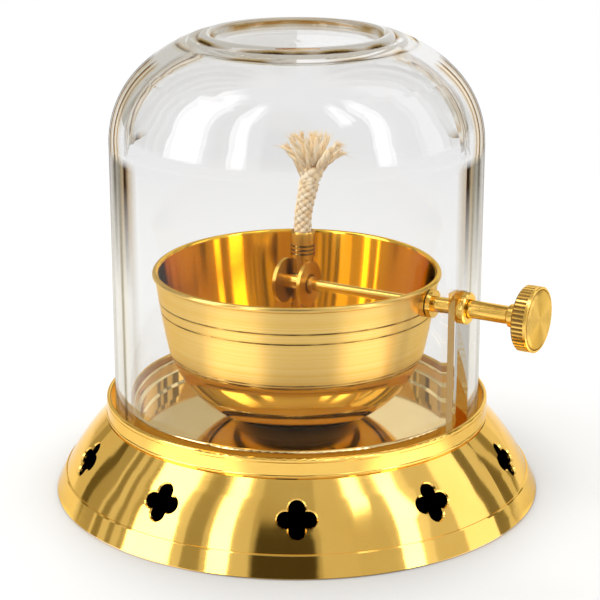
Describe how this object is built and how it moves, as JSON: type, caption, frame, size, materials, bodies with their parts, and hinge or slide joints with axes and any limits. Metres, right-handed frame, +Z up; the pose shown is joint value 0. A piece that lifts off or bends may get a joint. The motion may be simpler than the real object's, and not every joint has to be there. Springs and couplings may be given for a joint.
{
  "type": "akhand diya oil lamp",
  "caption": "Brass perpetual oil lamp: pierced stand with a dished tray, oil bowl with a knob-driven wick raiser, and a slotted glass dome that lifts off.",
  "frame": {"origin": "on the lamp's vertical axis, at the plane of the surface that the foot stands on", "axes": "+Z up along the lamp's axis; +X along the regulator's rod, from the axis out to the knob"},
  "size_m": [0.1659, 0.16, 0.151],
  "materials": {
    "polished_brass": "spun and polished, lacquered",
    "tray_brass": "spun, satin",
    "turned_brass": "turned, bright",
    "satin_brass": "turned face with a spun satin grain",
    "gasket_fibre": "matte",
    "wick_cotton": "braided cotton",
    "dome_glass": "clear blown glass, polished"
  },
  "bodies": {
    "base": {"foot_ring": "polished_brass", "pierced_skirt": "polished_brass", "gallery_ring": "polished_brass", "drip_tray": "tray_brass"},
    "bowl": {"oil_bowl": "polished_brass", "bowl_bush": "turned_brass", "bush_gasket": "gasket_fibre", "bearing_tube": "turned_brass", "slot_collar": "turned_brass", "wick_tube": "turned_brass", "tube_socket": "turned_brass", "wick_ferrule": "turned_brass"},
    "regulator": {"drive_shaft": "turned_brass", "retaining_collar": "turned_brass", "wheel_near": "turned_brass", "wheel_far": "turned_brass", "feed_roller": "turned_brass", "knob_shank": "turned_brass", "knob": "turned_brass", "knob_cap": "satin_brass"},
    "wick": {"wick": "wick_cotton"},
    "dome": {"glass_dome": "dome_glass"}
  },
  "joints": [
    {"name": "bowl_lift", "type": "slide", "parent": "base", "child": "bowl", "axis": [0, 0, 1], "range_m": [0, 0.06]},
    {"name": "dome_lift", "type": "slide", "parent": "bowl", "child": "dome", "axis": [0, 0, 1], "range_m": [0, 0.13]},
    {"name": "knob_turn", "type": "hinge", "parent": "bowl", "child": "regulator", "pos_m": [0.08, 0, 0.0695], "axis": [1, 0, 0], "range_deg": [-90, 270]},
    {"name": "wick_raise", "type": "slide", "parent": "bowl", "child": "wick", "axis": [0, 0, 1], "range_m": [-0.0045, 0.012]}
  ],
  "couplings": [
    {"joint": "wick_raise", "follows": "knob_turn", "m_per_rad": 0.00235}
  ]
}
